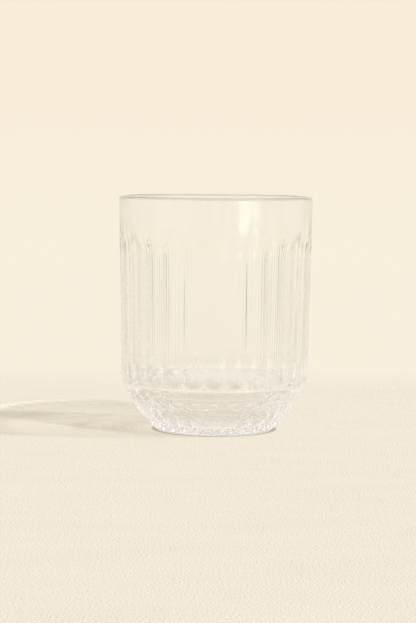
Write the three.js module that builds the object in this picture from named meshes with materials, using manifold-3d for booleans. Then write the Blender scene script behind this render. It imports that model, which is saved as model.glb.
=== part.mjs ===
// A clear pressed-glass tumbler: one piece of glass with a fluted wall, a plain belt and a fluted,
// bowl-shaped foot. The foot and belt drop into the mouth of another such glass, and the shoulder
// above them then sits on its rim, so the glasses stack.
// Millimetres, +Z up. The origin is the centre of the standing ring, on the table.
import * as THREE from 'three';
import { mergeVertices } from 'three/addons/utils/BufferGeometryUtils.js';
import Module from 'manifold-3d';

// Overall size and the wall
const HEIGHT = 90;
const RIM_RADIUS = 37.2;
const RIM_THICKNESS = 1.9;
const WALL_DRAFT = THREE.MathUtils.degToRad(0.6);
const CUP_DRAFT = THREE.MathUtils.degToRad(2);

// The cup inside: its floor, and the round corner that makes a bowl of its lower part, by how far that
// reaches in over the floor and how far it rises up the side
const FLOOR_HEIGHT = 8;
const FLOOR_CORNER = 16;
const FLOOR_RISE = 20;

// The flutes round the wall, which deepen a little towards the shoulder. Each has a tall arch for its
// top, stretched from a round one, and they leave a plain band under the rim.
const FLUTE_COUNT = 28;
const FLUTE_DEPTH = 0.85;
const FLUTE_LEAN = THREE.MathUtils.degToRad(0.35);
const ARCH_STRETCH = 2.5;
const BAND_HEIGHT = 14;

// The rounded shoulder under the wall, and the groove that parts it from the belt
const SHOULDER_HEIGHT = 9.3;
const GROOVE_DEPTH = 0.5;

// The belt, which clears the mouth of the glass below in a stack
const BELT_HEIGHT = 2.6;
const BELT_EDGE = 0.4;
const STACK_CLEARANCE = 0.85;

// The bowl-shaped foot: its height up to the belt, its step in under the belt and its leans
const FOOT_HEIGHT = 15;
const FOOT_STEP = 1.6;
const FOOT_LEAN_AT_TABLE = THREE.MathUtils.degToRad(50);
const FOOT_LEAN_AT_BELT = THREE.MathUtils.degToRad(6);

// The flutes on the foot, in line with those on the wall
const FOOT_FLUTE_DEPTH = 1.3;
const FOOT_FLUTE_BELOW_BELT = 1.4;
const FOOT_FLUTE_ABOVE_TABLE = 0.9;

// The standing ring and the shallow hollow inside it
const STAND_RADIUS = 22.5;
const STAND_WIDTH = 4;
const HOLLOW_DEPTH = 1.4;

// How finely curves are cut into facets
const FACETS_PER_PITCH = 3;
const ROD_FACETS = 38;
const ROD_NOSE_RINGS = 7;
const FOOT_ROD_FACETS = 38;
const FOOT_ROD_NOSE_RINGS = 7;
const FOOT_ROD_RINGS = 3;
const HOLLOW_STEPS = 2;
const FOOT_STEPS = 3;
const BELT_STEPS = 1;
const SHOULDER_STEPS = 5;
const RIM_STEPS = 6;
const FLOOR_STEPS = 6;

// Sizes that follow from the ones above
const mouthRadius = RIM_RADIUS - RIM_THICKNESS;
const rimRound = RIM_THICKNESS / 2;
const rimRoundHeight = HEIGHT - rimRound;
const beltRadius = mouthRadius - STACK_CLEARANCE;
const beltTop = FOOT_HEIGHT + BELT_HEIGHT;
const grooveRadius = beltRadius - GROOVE_DEPTH;
const footTopRadius = beltRadius - FOOT_STEP;
const shoulderTop = beltTop + SHOULDER_HEIGHT;
const pitchAngle = 2 * Math.PI / FLUTE_COUNT;

const wallRadius = (z) => RIM_RADIUS - (rimRoundHeight - z) * Math.tan(WALL_DRAFT);
const cupRadius = (z) => mouthRadius - (rimRoundHeight - z) * Math.tan(CUP_DRAFT);

// The side of the foot is one smooth curve between its lean at the table and its lean at the belt,
// and its control point is where those two slopes meet.
function footCurve() {
  const start = new THREE.Vector2(STAND_RADIUS, 0);
  const end = new THREE.Vector2(footTopRadius, FOOT_HEIGHT);
  const rise = new THREE.Vector2(Math.sin(FOOT_LEAN_AT_TABLE), Math.cos(FOOT_LEAN_AT_TABLE));
  const fall = new THREE.Vector2(Math.sin(FOOT_LEAN_AT_BELT), Math.cos(FOOT_LEAN_AT_BELT));
  const across = end.clone().sub(start);
  const alongRise = across.cross(fall) / rise.cross(fall);
  const corner = start.clone().addScaledVector(rise, alongRise);
  return new THREE.QuadraticBezierCurve(start, corner, end);
}

// A round corner from one point to another, drawn towards the corner point between them.
function roundCorner(from, corner, to, steps) {
  return new THREE.QuadraticBezierCurve(from, corner, to).getPoints(steps);
}

// The whole section of the glass, from the middle of the hollow underneath, out and up the outside,
// over the round rim and down the inside to the middle of the cup's floor.
function glassSection() {
  const at = (r, z) => new THREE.Vector2(r, z);
  const standInner = STAND_RADIUS - STAND_WIDTH;
  const hollow = roundCorner(
    at(0, HOLLOW_DEPTH), at(standInner / 2, HOLLOW_DEPTH), at(standInner, 0), HOLLOW_STEPS);
  const foot = footCurve().getPoints(FOOT_STEPS);
  const beltUnder = roundCorner(
    at(beltRadius - BELT_EDGE, FOOT_HEIGHT), at(beltRadius, FOOT_HEIGHT),
    at(beltRadius, FOOT_HEIGHT + BELT_EDGE), BELT_STEPS);
  const beltOver = roundCorner(
    at(beltRadius, beltTop - BELT_EDGE), at(beltRadius, beltTop), at(grooveRadius, beltTop), BELT_STEPS);
  const shoulder = new THREE.EllipseCurve(
    grooveRadius, shoulderTop, wallRadius(shoulderTop) - grooveRadius, SHOULDER_HEIGHT,
    -Math.PI / 2, 0).getPoints(SHOULDER_STEPS).slice(1);
  const rim = new THREE.EllipseCurve(
    RIM_RADIUS - rimRound, rimRoundHeight, rimRound, rimRound, 0, Math.PI).getPoints(RIM_STEPS);
  const cornerTop = FLOOR_HEIGHT + FLOOR_RISE;
  const cornerRadius = cupRadius(FLOOR_HEIGHT);
  const floorCorner = roundCorner(
    at(cupRadius(cornerTop), cornerTop), at(cornerRadius, FLOOR_HEIGHT),
    at(cornerRadius - FLOOR_CORNER, FLOOR_HEIGHT), FLOOR_STEPS);
  const floorMiddle = at(0, FLOOR_HEIGHT);
  return [...hollow, ...foot, ...beltUnder, ...beltOver, ...shoulder, ...rim, ...floorCorner, floorMiddle];
}

// The radius of a round rod that sinks in by depth where the glass has the given radius, and meets
// its surface again at halfAngle to each side.
function rodRadius(radius, depth, halfAngle) {
  const fall = radius * (1 - Math.cos(halfAngle));
  return (depth ** 2 + 2 * fall * (radius - depth)) / (2 * (depth - fall));
}

// A long-nosed rod that leans against the wall, with its upper nose ending at the plain band. At the
// rim's radius neighbouring rods just meet, so further down they leave a sharp ridge.
function wallRod() {
  const radius = rodRadius(RIM_RADIUS, FLUTE_DEPTH, pitchAngle / 2);
  const noseReach = ARCH_STRETCH * Math.sqrt(radius ** 2 - (radius - FLUTE_DEPTH) ** 2);
  const top = HEIGHT - BAND_HEIGHT - noseReach;
  const middle = (top + FOOT_HEIGHT) / 2;
  const lean = WALL_DRAFT + FLUTE_LEAN;
  const length = (top - FOOT_HEIGHT) / Math.cos(lean);
  const rod = new THREE.CapsuleGeometry(radius, length / ARCH_STRETCH, ROD_NOSE_RINGS, ROD_FACETS);
  rod.scale(1, ARCH_STRETCH, 1);
  rod.rotateY(Math.PI / ROD_FACETS);
  rod.rotateX(Math.PI / 2);
  rod.rotateY(lean);
  const axisRadius = wallRadius(top) - (top - middle) * Math.tan(lean) - FLUTE_DEPTH + radius;
  rod.translate(axisRadius, 0, middle);
  return rod;
}

// A round-nosed rod bent along the foot: every ring of a straight rod is set square to the foot's
// curve, at the depth of the flute, and its noses run on straight past the two ends.
function footRod() {
  const curve = footCurve();
  const radius = rodRadius(footTopRadius, FOOT_FLUTE_DEPTH, pitchAngle / 2);
  const noseReach = Math.sqrt(radius ** 2 - (radius - FOOT_FLUTE_DEPTH) ** 2);
  const length = curve.getLength();
  const start = FOOT_FLUTE_ABOVE_TABLE + noseReach;
  const end = length - FOOT_FLUTE_BELOW_BELT - noseReach;
  const rod = new THREE.CapsuleGeometry(
    radius, end - start, FOOT_ROD_NOSE_RINGS, FOOT_ROD_FACETS, FOOT_ROD_RINGS);
  rod.rotateY(Math.PI / FOOT_ROD_FACETS);
  const place = rod.attributes.position;
  for (let i = 0; i < place.count; i++) {
    const along = place.getY(i) + (start + end) / 2;
    const held = THREE.MathUtils.clamp(along, start, end);
    const point = curve.getPointAt(held / length);
    const slope = curve.getTangentAt(held / length);
    const out = radius - FOOT_FLUTE_DEPTH + place.getX(i);
    const past = along - held;
    const r = point.x + slope.y * out + slope.x * past;
    const z = point.y - slope.x * out + slope.y * past;
    place.setXYZ(i, r, -place.getZ(i), z);
  }
  return rod;
}

// A solid for joining and cutting, from a geometry whose seams and poles are closed first.
function toSolid(geometry) {
  geometry.deleteAttribute('normal');
  geometry.deleteAttribute('uv');
  const merged = mergeVertices(geometry, 1e-5);
  const corners = merged.index.array;
  const triVerts = [];
  for (let i = 0; i < corners.length; i += 3) {
    const [a, b, c] = corners.subarray(i, i + 3);
    if (a !== b && b !== c && c !== a) triVerts.push(a, b, c);
  }
  return new wasm.Manifold(new wasm.Mesh({
    numProp: 3,
    vertProperties: new Float32Array(merged.attributes.position.array),
    triVerts: new Uint32Array(triVerts),
  }));
}

function toGeometry(solid) {
  const mesh = solid.getMesh();
  const geometry = new THREE.BufferGeometry();
  geometry.setAttribute('position', new THREE.BufferAttribute(mesh.vertProperties, 3));
  geometry.setIndex(new THREE.BufferAttribute(mesh.triVerts, 1));
  geometry.computeVertexNormals();
  return geometry;
}

// The blank is turned, then the rods are stepped round it and cut out of it. A flute faces -Y.
function tumblerGeometry() {
  const turns = FLUTE_COUNT * FACETS_PER_PITCH;
  const blank = new THREE.LatheGeometry(glassSection(), turns);
  blank.rotateX(Math.PI / 2);
  let glass = toSolid(blank);
  for (let flute = 0; flute < FLUTE_COUNT; flute++) {
    const turn = flute * pitchAngle - Math.PI / 2;
    glass = glass.subtract(toSolid(wallRod().rotateZ(turn)));
    glass = glass.subtract(toSolid(footRod().rotateZ(turn)));
  }
  return toGeometry(glass);
}

const wasm = await Module();
wasm.setup();

const clearGlass = new THREE.MeshStandardMaterial({
  color: 0xeef3f0,
  roughness: 0.05,
  metalness: 0,
  transparent: true,
  opacity: 0.35,
});

const tumbler = new THREE.Mesh(tumblerGeometry(), clearGlass);
tumbler.name = 'tumbler';

const drinkingGlass = new THREE.Group();
drinkingGlass.add(tumbler);

export default drinkingGlass;
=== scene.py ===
# %% [markdown]
# # A clear pressed-glass tumbler
# A tumbler like this is pressed in an iron mould from one gob of hot glass. The mould gives the
# outside its flutes, its belt and its bowl-shaped foot, a smooth plunger gives the inside its plain
# cup, and a flame then softens every edge. So there is one piece to make here, and all of its look
# comes from how the two surfaces bend the light between them.

# %% Load the frame
import math

import bpy
import numpy as np
from mathutils import Euler, Matrix, Vector


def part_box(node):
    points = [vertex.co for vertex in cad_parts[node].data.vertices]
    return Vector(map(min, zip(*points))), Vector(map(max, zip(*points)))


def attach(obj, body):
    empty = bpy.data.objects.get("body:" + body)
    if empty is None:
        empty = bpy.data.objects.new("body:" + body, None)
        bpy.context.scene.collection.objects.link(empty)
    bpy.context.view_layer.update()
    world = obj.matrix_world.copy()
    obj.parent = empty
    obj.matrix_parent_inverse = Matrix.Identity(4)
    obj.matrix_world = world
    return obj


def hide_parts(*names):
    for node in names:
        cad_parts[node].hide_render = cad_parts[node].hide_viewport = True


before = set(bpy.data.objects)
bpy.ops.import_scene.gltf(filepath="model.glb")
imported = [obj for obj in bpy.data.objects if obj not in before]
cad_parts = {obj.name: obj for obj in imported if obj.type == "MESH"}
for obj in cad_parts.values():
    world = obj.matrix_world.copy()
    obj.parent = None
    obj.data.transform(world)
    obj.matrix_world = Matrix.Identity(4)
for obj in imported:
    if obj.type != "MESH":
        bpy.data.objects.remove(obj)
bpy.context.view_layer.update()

# %% [markdown]
# ## The sizes
# The packed solid gives the height and the rim. The other sizes are the glass's own driving sizes,
# in millimetres as a mould maker would write them, and everything further down follows from these.

# %% Driving sizes
MM = 0.001
glass_low, glass_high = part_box("tumbler")
HEIGHT = (glass_high.z - glass_low.z) / MM
RIM_RADIUS = (glass_high.x - glass_low.x) / 2 / MM
RIM_THICKNESS = 1.9
WALL_DRAFT = math.radians(0.6)
CUP_DRAFT = math.radians(2.0)
FLOOR_HEIGHT = 8.0
FLOOR_CORNER = 16.0
FLOOR_RISE = 20.0
FLUTE_COUNT = 28
FLUTE_DEPTH = 0.85
FLUTE_LEAN = math.radians(0.35)
BAND_HEIGHT = 14.0
ARCH_STRETCH = 2.5
SHOULDER_HEIGHT = 9.3
GROOVE_DEPTH = 0.5
BELT_HEIGHT = 2.6
BELT_EDGE = 0.4
STACK_CLEARANCE = 0.85
FOOT_HEIGHT = 15.0
FOOT_STEP = 1.6
FOOT_LEAN_AT_TABLE = math.radians(50)
FOOT_LEAN_AT_BELT = math.radians(6)
FOOT_FLUTE_DEPTH = 1.3
FOOT_FLUTE_BELOW_BELT = 1.4
FOOT_FLUTE_ABOVE_TABLE = 0.9
STAND_RADIUS = 22.5
STAND_WIDTH = 4.0
STAND_EDGE = 0.5
HOLLOW_DEPTH = 1.4
RIDGE_SOFTNESS = 0.3
FLUTE_EDGE_SOFTNESS = 0.25

rim_round = RIM_THICKNESS / 2
rim_round_height = HEIGHT - rim_round
mouth_radius = RIM_RADIUS - RIM_THICKNESS
belt_radius = mouth_radius - STACK_CLEARANCE
belt_top = FOOT_HEIGHT + BELT_HEIGHT
groove_radius = belt_radius - GROOVE_DEPTH
foot_top_radius = belt_radius - FOOT_STEP
shoulder_top = belt_top + SHOULDER_HEIGHT
pitch = 2 * math.pi / FLUTE_COUNT
print(f"rim {2 * RIM_RADIUS:.1f} mm across, a flute every {math.degrees(pitch):.2f} degrees")

# %% [markdown]
# ## The section
# Before it is fluted, the glass is round: one section turned about its axis. It runs from the middle
# of the hollow underneath, out and up the outside, over the rim and down to the middle of the cup.
# A screw modifier could turn it, but the flutes need points of their own, so the section is kept as a
# list of points here, each stretch with as many as its shape needs.

# %% Curves for the section
def wall_radius(z):
    """Outer radius of the plain wall: it narrows by the tangent of its draft for each mm down."""
    return RIM_RADIUS - (rim_round_height - z) * math.tan(WALL_DRAFT)


def cup_radius(z):
    """Inner radius of the cup: it narrows by the tangent of its own draft for each mm down."""
    return mouth_radius - (rim_round_height - z) * math.tan(CUP_DRAFT)


def rounded(start, corner, end, shares):
    """A round corner. At share t: (1-t)^2 start + 2t(1-t) corner + t^2 end."""
    t = np.asarray(shares, float)[:, None]
    start, corner, end = (np.asarray(p, float) for p in (start, corner, end))
    return (1 - t) ** 2 * start + 2 * t * (1 - t) * corner + t ** 2 * end


def straight(start, end, shares):
    """A straight stretch. At share t: start + t (end - start)."""
    t = np.asarray(shares, float)[:, None]
    return np.asarray(start, float) + t * (np.asarray(end, float) - np.asarray(start, float))


def foot_corner():
    """Where the foot's slope at the table meets its slope at the belt."""
    start = np.array([STAND_RADIUS, 0.0])
    end = np.array([foot_top_radius, FOOT_HEIGHT])
    rise = np.array([math.sin(FOOT_LEAN_AT_TABLE), math.cos(FOOT_LEAN_AT_TABLE)])
    fall = np.array([math.sin(FOOT_LEAN_AT_BELT), math.cos(FOOT_LEAN_AT_BELT)])
    along, _ = np.linalg.solve(np.stack([rise, fall], 1), end - start)
    return start + along * rise


# %% [markdown]
# The foot is one bent curve, and its flutes are measured along it, so its points are spread evenly by
# length. The straight wall needs few points, and the shoulder and the arches on top of the flutes
# need many.

# %% The section's points
def even_foot(count):
    """Points spread evenly by length along the foot's curve, from the table to the belt."""
    fine = rounded((STAND_RADIUS, 0), foot_corner(), (foot_top_radius, FOOT_HEIGHT), np.linspace(0, 1, 2001))
    length = np.concatenate([[0], np.cumsum(np.hypot(*np.diff(fine, axis=0).T))])
    wanted = np.linspace(STAND_EDGE, length[-1] - STAND_EDGE, count)
    points = np.stack([np.interp(wanted, length, fine[:, i]) for i in (0, 1)], 1)
    return points, wanted, length[-1]


def inner_shares(count):
    """Evenly spaced shares from 0 to 1 without the two ends."""
    return np.linspace(0, 1, count + 2)[1:-1]


ARCH_LOW, ARCH_HIGH = 58.0, HEIGHT - BAND_HEIGHT + 1.0
FOOT_POINTS = 40
SHOULDER_POINTS = 34
SHOULDER_START = math.radians(-84)
ARCH_POINTS = 30
RIM_POINTS = 17
edge_shares = np.linspace(0, 1, 6)

stand_inner = STAND_RADIUS - STAND_WIDTH
foot_points, foot_lengths, foot_length = even_foot(FOOT_POINTS)
hollow = rounded(
    (0, HOLLOW_DEPTH), (stand_inner / 2, HOLLOW_DEPTH), (stand_inner, 0), np.linspace(0.06, 1, 9))
stand = straight((stand_inner, 0), (STAND_RADIUS - STAND_EDGE, 0), [0.1, 0.5, 0.9, 1.0])
stand_edge = rounded((STAND_RADIUS - STAND_EDGE, 0), (STAND_RADIUS, 0), foot_points[0], inner_shares(2))
neck = rounded(
    foot_points[-1], (foot_top_radius, FOOT_HEIGHT),
    (foot_top_radius + STAND_EDGE, FOOT_HEIGHT), inner_shares(3))
belt_under = rounded(
    (belt_radius - BELT_EDGE, FOOT_HEIGHT), (belt_radius, FOOT_HEIGHT),
    (belt_radius, FOOT_HEIGHT + BELT_EDGE), edge_shares)
belt_over = rounded(
    (belt_radius, belt_top - BELT_EDGE), (belt_radius, belt_top),
    (groove_radius, belt_top), edge_shares)
lean = np.linspace(SHOULDER_START, 0, SHOULDER_POINTS)
shoulder = np.stack([
    groove_radius + (wall_radius(shoulder_top) - groove_radius) * np.cos(lean),
    shoulder_top + SHOULDER_HEIGHT * np.sin(lean)], 1)
wall_heights = np.concatenate([
    np.linspace(shoulder_top, ARCH_LOW, 9)[1:-1],
    np.linspace(ARCH_LOW, ARCH_HIGH, ARCH_POINTS),
    np.linspace(ARCH_HIGH, rim_round_height, 5)[1:-1]])
wall = np.stack([wall_radius(wall_heights), wall_heights], 1)
over = np.linspace(0, math.pi, RIM_POINTS)
rim = np.stack([
    RIM_RADIUS - rim_round + rim_round * np.cos(over), rim_round_height + rim_round * np.sin(over)], 1)
corner_top = FLOOR_HEIGHT + FLOOR_RISE
cup_heights = np.linspace(rim_round_height, corner_top, 16)[1:-1]
cup = np.stack([cup_radius(cup_heights), cup_heights], 1)
corner_radius = cup_radius(FLOOR_HEIGHT)
cup_corner = rounded(
    (cup_radius(corner_top), corner_top), (corner_radius, FLOOR_HEIGHT),
    (corner_radius - FLOOR_CORNER, FLOOR_HEIGHT), np.linspace(0, 1, 14))
cup_floor = straight((corner_radius - FLOOR_CORNER, FLOOR_HEIGHT), (0, FLOOR_HEIGHT), [0.15, 0.4, 0.7, 0.93])
stretches = [
    hollow, stand, stand_edge, foot_points, neck, belt_under, belt_over,
    shoulder, wall, rim, cup, cup_corner, cup_floor]
section = np.concatenate(stretches)
starts = np.cumsum([0] + [len(s) for s in stretches])
foot_rows = slice(starts[3], starts[4])
wall_rows = slice(starts[7], starts[9])
print(len(section), "points in the section, the foot's curve is", round(foot_length, 2), "mm long")

# %% [markdown]
# ## The flutes
# In the mould each flute is the mark of a round rod that leans against the wall, a little deeper further
# down. The rod has a long nose, which draws the tall arch at the top of the flute. So a flute's depth at
# a point is how far the point lies inside the rod. Neighbouring rods meet in a ridge, and the flame has
# softened that ridge and every edge a little, so the deeper of two cuts is taken with a rounded bend and
# not a sharp one.

# %% Depth of the flutes
def rod_radius(radius, depth):
    """Radius of a rod that sinks in by depth and comes out half a pitch to each side."""
    fall = radius * (1 - math.cos(pitch / 2))
    return (depth ** 2 + 2 * fall * (radius - depth)) / (2 * (depth - fall))


def softer_max(a, b, width):
    """The larger of a and b, with a round bend where they are within width of each other."""
    share = np.clip(0.5 + 0.5 * (a - b) / width, 0, 1)
    return b + (a - b) * share + width * share * (1 - share)


def nose_reach(radius, depth):
    """How far a ball of that radius, sunk in by depth, reaches along the surface."""
    return math.sqrt(radius ** 2 - (radius - depth) ** 2)


def wall_rod_depth(r, z, turn):
    """Depth of a wall flute: the point's radius less (A cos(turn) - sqrt(R^2 - (A sin(turn))^2 - h^2)),
    with A the radius of the rod's axis, R the rod's and h the height above the nose's middle, shrunk
    by the stretch of the arch. The rod leans in, so the flute is a little deeper further down."""
    rod = rod_radius(RIM_RADIUS, FLUTE_DEPTH)
    nose_height = HEIGHT - BAND_HEIGHT - ARCH_STRETCH * nose_reach(rod, FLUTE_DEPTH)
    below = np.maximum(nose_height - z, 0)
    axis = wall_radius(nose_height) - FLUTE_DEPTH + rod - below * math.tan(WALL_DRAFT + FLUTE_LEAN)
    above = np.maximum(z - nose_height, 0) / ARCH_STRETCH
    inside = np.maximum(rod ** 2 - (axis * np.sin(turn)) ** 2 - above ** 2, 0)
    return r - (axis * np.cos(turn) - np.sqrt(inside))


def foot_rod_depth(r, along, out, turn):
    """Depth of a foot flute, square to the foot: depth - fall - R + sqrt(R^2 - side^2 - past^2), with
    side = r sin(turn), fall = out r (1 - cos(turn)), past = the way past either end of the rod."""
    rod = rod_radius(foot_top_radius, FOOT_FLUTE_DEPTH)
    reach = nose_reach(rod, FOOT_FLUTE_DEPTH)
    low = FOOT_FLUTE_ABOVE_TABLE + reach
    high = foot_length - FOOT_FLUTE_BELOW_BELT - reach
    past = along - np.clip(along, low, high)
    inside = np.maximum(rod ** 2 - (r * np.sin(turn)) ** 2 - past ** 2, 0)
    return FOOT_FLUTE_DEPTH - out * r * (1 - np.cos(turn)) - rod + np.sqrt(inside)


def soft_flutes(depth_at, turn):
    """The deeper of a flute and its neighbour, and never less than none, with soft bends."""
    deeper = softer_max(depth_at(turn), depth_at(pitch - np.abs(turn)), RIDGE_SOFTNESS)
    return softer_max(deeper, 0.0, FLUTE_EDGE_SOFTNESS)


print(f"wall rods {rod_radius(RIM_RADIUS, FLUTE_DEPTH):.1f} mm, foot rods "
      f"{rod_radius(foot_top_radius, FOOT_FLUTE_DEPTH):.1f} mm in radius")

# %% [markdown]
# ## The surface
# The grid has one row for each point of the section and the same number of columns in every flute,
# drawn close together at the ridges, where the surface turns fastest. The rows of the wall and the
# shoulder are cut inwards, and those of the foot square to its slope.

# %% The glass as a grid
COLUMNS_PER_FLUTE = 16
RIDGE_CROWDING = 0.75

step = np.arange(COLUMNS_PER_FLUTE) / COLUMNS_PER_FLUTE * 2 - 1
across = step + RIDGE_CROWDING * np.sin(math.pi * step) / math.pi
turn = np.tile(across * pitch / 2, FLUTE_COUNT)
angle = np.repeat(np.arange(FLUTE_COUNT), COLUMNS_PER_FLUTE) * pitch + turn - math.pi / 2


def fluted_surface():
    """Radius and height of every grid point: the section's own, less the depth of the flutes."""
    radius = np.repeat(section[:, :1], len(angle), 1)
    height = np.repeat(section[:, 1:], len(angle), 1)
    r, z = section[wall_rows, :1], section[wall_rows, 1:]
    radius[wall_rows] -= soft_flutes(lambda t: wall_rod_depth(r, z, t), turn[None, :])
    r = section[foot_rows, :1]
    slope = np.gradient(section[foot_rows], axis=0)
    slope /= np.linalg.norm(slope, axis=1, keepdims=True)
    along = foot_lengths[:, None]
    out, down = slope[:, 1:], -slope[:, :1]
    cut = soft_flutes(lambda t: foot_rod_depth(r, along, out, t), turn[None, :])
    radius[foot_rows] -= cut * out
    height[foot_rows] -= cut * down
    return radius, height


radius, height = fluted_surface()
rows, columns = radius.shape
points = np.stack([radius * np.cos(angle), radius * np.sin(angle), height], -1).reshape(-1, 3)
poles = np.array([[0, 0, HOLLOW_DEPTH], [0, 0, FLOOR_HEIGHT]])
points = np.concatenate([points, poles]) * MM
print(rows, "rows by", columns, "columns, thinnest ridge row", round(float(radius[wall_rows].min()), 2), "mm")

# %% [markdown]
# The grid closes on itself round the axis, and a fan of triangles closes each end at a pole, so the
# glass is one closed skin whose faces all point out of the glass, into the air. That matters here:
# light is bent the right way only where it can tell the outside from the inside.

# %% The mesh
def grid_faces(rows, columns):
    """Quads between neighbouring rows and columns, and a fan of triangles at the first and last row."""
    here = np.arange(columns)
    after = (here + 1) % columns
    low = np.arange(rows - 1)[:, None] * columns
    high = low + columns
    quads = np.stack([low + here, low + after, high + after, high + here], -1).reshape(-1, 4)
    last = (rows - 1) * columns
    first_pole, last_pole = rows * columns, rows * columns + 1
    first_fan = np.stack([np.full(columns, first_pole), after, here], -1)
    last_fan = np.stack([last + here, last + after, np.full(columns, last_pole)], -1)
    return quads.tolist() + first_fan.tolist() + last_fan.tolist()


skin = bpy.data.meshes.new("tumbler_glass")
skin.from_pydata(points.tolist(), [], grid_faces(rows, columns))
skin.polygons.foreach_set("use_smooth", np.ones(len(skin.polygons), bool))
skin.update()
tumbler = bpy.data.objects.new("tumbler_glass", skin)
bpy.context.scene.collection.objects.link(tumbler)
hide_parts("tumbler")
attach(tumbler, "root")
print(len(skin.polygons), "faces in the glass")

# %% [markdown]
# ## Writing shaders as sums
# A material is a net of nodes. Here a small class stands for one output of a node, and adding,
# subtracting or multiplying two of them adds the Math node that does it, so that a pattern can be
# written as a sum. Every node comes from one method, and the three kinds used most have a short name.

# %% Classes for node outputs and node trees
class Signal:
    """One output of a node, with arithmetic."""

    def __init__(self, finish, socket):
        self.finish, self.socket = finish, socket

    def combine(self, operation, first, second):
        return self.finish.add("ShaderNodeMath", {"operation": operation}, {0: first, 1: second})

    def __add__(self, other):
        return self.combine("ADD", self, other)

    def __radd__(self, other):
        return self.combine("ADD", other, self)

    def __sub__(self, other):
        return self.combine("SUBTRACT", self, other)

    def __rsub__(self, other):
        return self.combine("SUBTRACT", other, self)

    def __mul__(self, other):
        return self.combine("MULTIPLY", self, other)

    def __rmul__(self, other):
        return self.combine("MULTIPLY", other, self)


class Finish:
    """A node tree that is being written."""

    def __init__(self, tree):
        self.tree = tree
        tree.nodes.clear()

    def add(self, kind, settings=None, inputs=None, output=0):
        """Adds a node of any kind: its settings first, then the values or links of its sockets."""
        node = self.tree.nodes.new(kind)
        for name, value in (settings or {}).items():
            setattr(node, name, value)
        for name, value in (inputs or {}).items():
            if isinstance(value, Signal):
                self.tree.links.new(value.socket, node.inputs[name])
            else:
                node.inputs[name].default_value = value
        return Signal(self, node.outputs[output]) if node.outputs else node

    def edge(self, value, start, end):
        """A soft edge: 0 up to start, 1 from end on, and the other way round where end is lower."""
        return self.add(
            "ShaderNodeMapRange", {"interpolation_type": "SMOOTHSTEP"},
            {"Value": value, "From Min": start, "From Max": end, "To Min": 0.0, "To Max": 1.0})

    def blend(self, share, first, second):
        """A colour between two others."""
        return self.add("ShaderNodeMix", {"data_type": "RGBA"}, {0: share, 6: first, 7: second}, output=2)

    def noise(self, place, scale, detail):
        """A smooth random pattern round a middle value of a half."""
        return self.add("ShaderNodeTexNoise", inputs={"Vector": place, "Scale": scale, "Detail": detail})


def new_finish(name):
    """A new material and its empty node tree."""
    material = bpy.data.materials.new(name)
    material.use_nodes = True
    return material, Finish(material.node_tree)


print("Signal has", sum(name.startswith("__r") for name in vars(Signal)), "reflected operators")

# %% [markdown]
# ## Clear glass
# Pressed glass is clear, but it isn't perfect. Its skin chills against the mould and keeps a faint
# slow ripple, and washing leaves it a little less than mirror smooth in places. The ripple is a bump
# far too small to see as a shape. It shows only in how it moves what is behind the glass. The rim is
# seen along the wall, through more glass than the rest, so it looks greyer, and that grey is painted
# shade: a darker base colour blended in at the rim. A plain glass shader could do all this, but the
# principled one keeps tint and gloss in one place.

# %% The glass
GLASS_TINT = (0.985, 0.992, 0.988, 1)
# Painted shade: the darker grey given to the rim stands in for the greying seen through the long path of
# glass along the wall.
RIM_PAINTED_GREY = (0.78, 0.79, 0.77, 1)
RIM_FADE = 0.3
RIPPLE_SCALE, RIPPLE_DETAIL = 90.0, 1.0
RIPPLE_DEPTH = 0.00002
WASH_SCALE, WASH_DETAIL = 45.0, 3.0
WASH_ROUGHNESS = 0.18
GLASS_IOR = 1.5

clear_glass, glass = new_finish("clear_glass")
glass_place = glass.add("ShaderNodeTexCoord", output="Object")
ripple = glass.noise(glass_place, RIPPLE_SCALE, RIPPLE_DETAIL)
ripple_bump = glass.add(
    "ShaderNodeBump", inputs={"Strength": 1.0, "Distance": RIPPLE_DEPTH, "Height": ripple})
wash = glass.noise(glass_place, WASH_SCALE, WASH_DETAIL)
glass_height = glass.add("ShaderNodeSeparateXYZ", inputs={0: glass_place}, output="Z")
# Painted shade at the rim: this share blends the base colour to that darker grey between the two heights.
painted_rim_share = glass.edge(
    glass_height, (rim_round_height - RIM_FADE) * MM, (rim_round_height + RIM_FADE) * MM)
glass_body = glass.add(
    "ShaderNodeBsdfPrincipled",
    inputs={
        "Base Color": glass.blend(painted_rim_share, GLASS_TINT, RIM_PAINTED_GREY), "Roughness": WASH_ROUGHNESS * wash,
        "IOR": GLASS_IOR, "Transmission Weight": 1.0, "Normal": ripple_bump})
print("clear glass, rim tint from", round(rim_round_height - RIM_FADE, 2), "mm up")

# %% [markdown]
# Lamp light needs help to pass through. The curved glass gathers it into bright streaks in its own
# shadow, so the glass is named as a caster of such light here, and the table and the lamps further down
# as its receiver and its sources. Where no path for it is found, a Mix Shader on Light Path lets the
# lamp through and dims it a little where it slants, because it would otherwise stop at the glass and
# leave a black shadow. The even light of the room, which the table bounces, passes straight through.

# %% Light through the glass
LIT_STRAIGHT = (1.0, 1.0, 1.0, 1)
LIT_ASLANT = (0.75, 0.75, 0.75, 1)

facing = glass.add("ShaderNodeLayerWeight", inputs={"Blend": 0.5}, output="Facing")
lit_through = glass.add("ShaderNodeBsdfTransparent", inputs={"Color": LIT_STRAIGHT})
lit_aslant = glass.add("ShaderNodeBsdfTransparent", inputs={"Color": LIT_ASLANT})
lamp_light = glass.add("ShaderNodeMixShader", inputs={0: facing, 1: lit_through, 2: lit_aslant})
lamp_ray = glass.add("ShaderNodeLightPath", output="Is Shadow Ray")
surface = glass.add("ShaderNodeMixShader", inputs={0: lamp_ray, 1: glass_body, 2: lamp_light})
glass.add("ShaderNodeOutputMaterial", inputs={"Surface": surface})
skin.materials.append(clear_glass)
tumbler.cycles.is_caustics_caster = True
tumbler.visible_diffuse = False
print("clear glass:", len(clear_glass.node_tree.nodes), "nodes")

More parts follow.
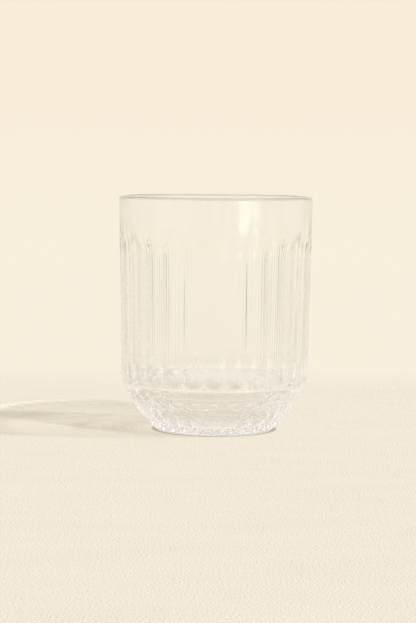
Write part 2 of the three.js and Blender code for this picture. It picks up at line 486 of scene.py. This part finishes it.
# %% [markdown]
# ## The table
# The glass stands on a pale, finely grained sheet, a little cloudy along its length. Clear glass has no
# colour of its own, so the sheet and the room are most of what is seen in it. Behind the glass the sheet
# fades into the backdrop, as a paper sweep does where it bends up.

# %% The table sheet
SHEET_REACH = 1.2
SHEET_FADE_BEHIND = (0.24, 0.12)
SHEET_FADE_ROUND = (1.1, 0.6)
SHEET_DARK = (0.77, 0.711, 0.592, 1)
SHEET_LIGHT = (0.903, 0.834, 0.704, 1)
GRAIN_SCALE, GRAIN_DETAIL = 1300.0, 3.0
GRAIN_DEPTH, GRAIN_STRENGTH = 0.0005, 0.8
CLOUD_SCALE, CLOUD_DETAIL = 60.0, 4.0
CLOUD_STRETCH = (0.35, 1.0, 1.0)

sheet_points = np.array([[-1, -1, 0], [1, -1, 0], [1, 1, 0], [-1, 1, 0]]) * SHEET_REACH
sheet_mesh = bpy.data.meshes.new("table_sheet")
sheet_mesh.from_pydata(sheet_points.tolist(), [], [[0, 1, 2, 3]])
table_sheet = bpy.data.objects.new("table_sheet", sheet_mesh)
bpy.context.scene.collection.objects.link(table_sheet)
table_sheet.cycles.is_caustics_receiver = True

table_cream, cream = new_finish("table_cream")
sheet_place = cream.add("ShaderNodeTexCoord", output="Object")
grain = cream.noise(sheet_place, GRAIN_SCALE, GRAIN_DETAIL)
grain_bump = cream.add(
    "ShaderNodeBump", inputs={"Strength": GRAIN_STRENGTH, "Distance": GRAIN_DEPTH, "Height": grain})
drawn_out = cream.add(
    "ShaderNodeVectorMath", {"operation": "MULTIPLY"}, {0: sheet_place, 1: CLOUD_STRETCH})
cloud = cream.noise(drawn_out, CLOUD_SCALE, CLOUD_DETAIL)
sheet_colour = cream.blend(0.5 * grain + 0.5 * cloud, SHEET_DARK, SHEET_LIGHT)
behind = cream.add("ShaderNodeSeparateXYZ", inputs={0: sheet_place}, output="Y")
away = cream.add("ShaderNodeVectorMath", {"operation": "LENGTH"}, {0: sheet_place}, output="Value")
there = cream.edge(behind, *SHEET_FADE_BEHIND) * cream.edge(away, *SHEET_FADE_ROUND)
print("table sheet", 2 * SHEET_REACH, "m wide")

# %% [markdown]
# Hardly any light gets in under the edge of the standing ring, so a thin brown line of shadow lies round
# it. The room's even light passes straight through the glass here and would leave that line out, so the
# sheet carries it as a soft ring.

# %% The line of shadow under the foot
CONTACT_COLOUR = (0.26, 0.17, 0.07, 1)
CONTACT_SHARE = 0.62
CONTACT_IN = (STAND_RADIUS - 0.3, STAND_RADIUS + 0.4)
CONTACT_OUT = (STAND_RADIUS + 2.4, STAND_RADIUS + 0.6)

contact = (
    cream.edge(away, CONTACT_IN[0] * MM, CONTACT_IN[1] * MM)
    * cream.edge(away, CONTACT_OUT[0] * MM, CONTACT_OUT[1] * MM))
cream_body = cream.add(
    "ShaderNodeBsdfPrincipled",
    inputs={
        "Base Color": cream.blend(CONTACT_SHARE * contact, sheet_colour, CONTACT_COLOUR),
        "Roughness": 1.0, "Specular IOR Level": 0.0, "Normal": grain_bump, "Alpha": there})
cream.add("ShaderNodeOutputMaterial", inputs={"Surface": cream_body})
sheet_mesh.materials.append(table_cream)
print("table cream:", len(table_cream.node_tree.nodes), "nodes")

# %% [markdown]
# ## The lamps
# Two lamps stand on the right, one well forward and one almost level with the glass, so that two
# shadows lie over each other on the left. They are suns with a little spread, which keeps the edges of
# the shadows clean, and slightly cooler than the room, which leaves the shadows a little browner. They
# light only the table. Seen in so many flutes they would strew white specks over the foot, so the lamp
# shades and the bright strip further down take their place there.

# %% Two lamps
LAMPS = [
    {"name": "front_lamp", "turn": 48.0, "rise": 47.0, "strength": 0.97},
    {"name": "side_lamp", "turn": 82.0, "rise": 24.0, "strength": 1.42}]
LAMP_SPREAD = math.radians(3)
LAMP_COLOUR = (0.905, 1.02, 1.16)

for entry in LAMPS:
    lamp_data = bpy.data.lights.new(entry["name"], "SUN")
    lamp_data.energy = entry["strength"]
    lamp_data.color = LAMP_COLOUR
    lamp_data.angle = LAMP_SPREAD
    lamp_data.cycles.is_caustics_light = True
    lamp = bpy.data.objects.new(entry["name"], lamp_data)
    lean_down = math.pi / 2 - math.radians(entry["rise"])
    lamp.rotation_euler = Euler((lean_down, 0, math.radians(entry["turn"])))
    lamp.visible_glossy = lamp.visible_transmission = False
    bpy.context.scene.collection.objects.link(lamp)
    print(entry["name"], "at", entry["turn"], "degrees round,", entry["rise"], "up")

# %% [markdown]
# ## The room
# What the glass shows is the room round it. Each part of the room is a soft patch on the sky, placed by
# how far the ray's way goes along a direction. Behind the glass is a cream backdrop, and in front the
# room is a mix of lighter and darker patches, which the flutes draw out into faint upright streaks. The
# ceiling is bright in front and dark behind, and the rim and the foot, which bend light furthest, take
# their greys from it.

# %% Walls and ceiling
BACKDROP_HIGH = (0.952, 0.846, 0.702, 1)
BACKDROP_LOW = (0.94, 0.866, 0.729, 1)
BACKDROP_BLEND = (-0.07, 0.04)
ROOM_DARK = (0.74, 0.715, 0.66, 1)
ROOM_BRIGHT = (1.20, 1.15, 1.06, 1)
FRONT_BLEND = (0.2, -0.6)
PATCH_SCALE, PATCH_DETAIL = 5.0, 1.0
PATCH_EDGE = (0.4, 0.6)
CEILING_BACK = (0.24, 0.243, 0.255, 1)
CEILING_FRONT = (1.40, 1.41, 1.46, 1)
CEILING_BLEND = (0.35, -0.1)
CEILING_FROM = (0.42, 0.52)
CEILING_MIDDLE = (0.84, 0.96)

room = bpy.data.worlds.new("room")
bpy.context.scene.world = room
room.use_nodes = True
air = Finish(room.node_tree)
way = air.add("ShaderNodeTexCoord", output="Generated")


def along(direction):
    """How far the ray's way goes along a direction."""
    return air.add(
        "ShaderNodeVectorMath", {"operation": "DOT_PRODUCT"}, {0: way, 1: direction}, output="Value")


def bearing(turn, rise=0.0):
    """The way to something at that turn to the right of the camera's side and that rise."""
    return Vector((math.sin(turn) * math.cos(rise), -math.cos(turn) * math.cos(rise), math.sin(rise)))


rising = along(Vector((0, 0, 1)))
backward = along(Vector((0, 1, 0)))
backdrop = air.blend(air.edge(rising, *BACKDROP_BLEND), BACKDROP_LOW, BACKDROP_HIGH)
patches = air.edge(air.noise(way, PATCH_SCALE, PATCH_DETAIL), *PATCH_EDGE)
front = air.blend(patches, ROOM_DARK, ROOM_BRIGHT)
walls = air.blend(air.edge(backward, *FRONT_BLEND), backdrop, front)
ceiling = air.blend(air.edge(backward, *CEILING_BLEND), CEILING_BACK, CEILING_FRONT)
ceiling = air.blend(air.edge(rising, *CEILING_MIDDLE), ceiling, CEILING_FRONT)
surroundings = air.blend(air.edge(rising, *CEILING_FROM), walls, ceiling)
print("walls and ceiling:", len(room.node_tree.nodes), "nodes")

# %% [markdown]
# Photographers stand slim dark cards beside clear glass to draw its edges. Here one stands behind the
# glass on each side, low and out of the picture, and the flutes bend them into the fine dark lines on
# the wall. Two round lamp shades, one on each side in front, show as small bright spots on the rim.

# %% Dark cards and lamp shades
CARD_INNER, CARD_OUTER = (0.31, 0.33), (0.40, 0.38)
CARD_LOW, CARD_HIGH = (-0.13, -0.095), (-0.038, -0.055)
CARD_BEHIND = (0.0, 0.1)
CARD_DARK = (0.32, 0.32, 0.32, 1)
SHADES = [
    {"turn": 56.0, "rise": 35.0, "reach": 8.0},
    {"turn": -47.0, "rise": 22.0, "reach": 10.0}]
SHADE_EDGE = 5.0
SHADE_LIGHT = (4.0, 4.0, 4.0, 1)

aside = air.add("ShaderNodeMath", {"operation": "ABSOLUTE"}, {0: along(Vector((1, 0, 0)))})
cards = (
    air.edge(aside, *CARD_INNER) * air.edge(aside, *CARD_OUTER) * air.edge(backward, *CARD_BEHIND)
    * air.edge(rising, *CARD_LOW) * air.edge(rising, *CARD_HIGH))
surroundings = air.blend(cards, surroundings, CARD_DARK)
for entry in SHADES:
    middle = along(bearing(math.radians(entry["turn"]), math.radians(entry["rise"])))
    inner, outer = math.radians(entry["reach"]), math.radians(entry["reach"] + SHADE_EDGE)
    shade = air.edge(middle, math.cos(outer), math.cos(inner))
    surroundings = air.blend(shade, surroundings, SHADE_LIGHT)
print(len(SHADES), "lamp shades and a dark card on each side")

# %% [markdown]
# The camera sees only the backdrop, and the table is lit by an even light of its own, so that the room
# can be set for what shows in the glass. Glass this thick needs many bounces before light finds its way
# out again.

# %% Who sees what
ROOM_FILL = (0.727, 0.675, 0.623, 1)
BOUNCES = 32

by_camera = air.add("ShaderNodeLightPath", output="Is Camera Ray")
bounced = air.add("ShaderNodeLightPath", output="Diffuse Depth")
by_table = air.add("ShaderNodeMath", {"operation": "MINIMUM"}, {0: bounced, 1: 1.0})
sight = air.blend(by_table, air.blend(by_camera, surroundings, backdrop), ROOM_FILL)
room_light = air.add("ShaderNodeBackground", inputs={"Color": sight})
air.add("ShaderNodeOutputWorld", inputs={"Surface": room_light})
room.cycles.sampling_method = "NONE"
for kind in ("max_bounces", "glossy_bounces", "transmission_bounces"):
    setattr(bpy.context.scene.cycles, kind, BOUNCES)
bpy.context.scene.view_settings.view_transform = "Standard"
print("room:", len(room.node_tree.nodes), "nodes")

# %% [markdown]
# ## A bright strip
# A slim bright strip in front on the left shows as the highlight under the rim, mirrored by the back of
# the glass. It stands near the glass and as high as the plain band, so that hardly anything but the band
# mirrors it. Its edges are soft, and only rays that have gone right through a wall of the glass, past two
# of its surfaces, see it.

# %% The strip
STRIP_TURN = math.radians(-39.5)
STRIP_AWAY = 0.30
STRIP_HEIGHT = 0.080
STRIP_WIDE, STRIP_TALL = 0.11, 0.024
STRIP_SIDE = (0.055, 0.030)
STRIP_LOW, STRIP_HIGH = (-0.009, -0.005), (0.0042, -0.002)
STRIP_LIGHT = 9.0
STRIP_DEPTH = (2.0, 3.0)

strip_points = np.array([[-1, 0, -1], [1, 0, -1], [1, 0, 1], [-1, 0, 1]]) / 2
strip_points = strip_points * [STRIP_WIDE, 1, STRIP_TALL]
strip_mesh = bpy.data.meshes.new("bright_strip")
strip_mesh.from_pydata(strip_points.tolist(), [], [[0, 1, 2, 3]])
bright_strip = bpy.data.objects.new("bright_strip", strip_mesh)
bright_strip.location = STRIP_AWAY * bearing(STRIP_TURN) + Vector((0, 0, STRIP_HEIGHT))
bright_strip.rotation_euler = Euler((0, 0, STRIP_TURN))
bpy.context.scene.collection.objects.link(bright_strip)
for kind in ("visible_camera", "visible_diffuse", "visible_shadow"):
    setattr(bright_strip, kind, False)

strip_glow, glow = new_finish("strip_glow")
strip_place = glow.add("ShaderNodeTexCoord", output="Object")
sideways = glow.add("ShaderNodeSeparateXYZ", inputs={0: strip_place}, output="X")
from_middle = glow.add("ShaderNodeMath", {"operation": "ABSOLUTE"}, {0: sideways})
strip_up = glow.add("ShaderNodeSeparateXYZ", inputs={0: strip_place}, output="Z")
walls_passed = glow.add("ShaderNodeLightPath", output="Transmission Depth")
in_glass = glow.edge(walls_passed, *STRIP_DEPTH)
shape = (
    in_glass * glow.edge(from_middle, *STRIP_SIDE)
    * glow.edge(strip_up, *STRIP_LOW) * glow.edge(strip_up, *STRIP_HIGH))
clear = glow.add("ShaderNodeBsdfTransparent")
shine = glow.add("ShaderNodeEmission", inputs={"Strength": STRIP_LIGHT})
strip_surface = glow.add("ShaderNodeMixShader", inputs={0: shape, 1: clear, 2: shine})
glow.add("ShaderNodeOutputMaterial", inputs={"Surface": strip_surface})
strip_mesh.materials.append(strip_glow)
print("bright strip", STRIP_WIDE, "by", STRIP_TALL, "m")

# %% [markdown]
# ## The camera
# It stands well back with a long lens, a little above the rim, and looks slightly down.

# %% The camera
CAMERA_PLACE = (-0.0027, -0.79, 0.108)
CAMERA_DIP = math.radians(4.53)
CAMERA_ROLL = math.radians(0.5)
CAMERA_LENS = 118.5

camera_data = bpy.data.cameras.new("camera")
camera_data.lens = CAMERA_LENS
camera = bpy.data.objects.new("camera", camera_data)
aim = Euler((math.pi / 2 - CAMERA_DIP, 0, 0)).to_matrix() @ Matrix.Rotation(CAMERA_ROLL, 3, "Z")
camera.matrix_world = Matrix.Translation(CAMERA_PLACE) @ aim.to_4x4()
bpy.context.scene.collection.objects.link(camera)
bpy.context.scene.camera = camera
print("camera at", CAMERA_PLACE)
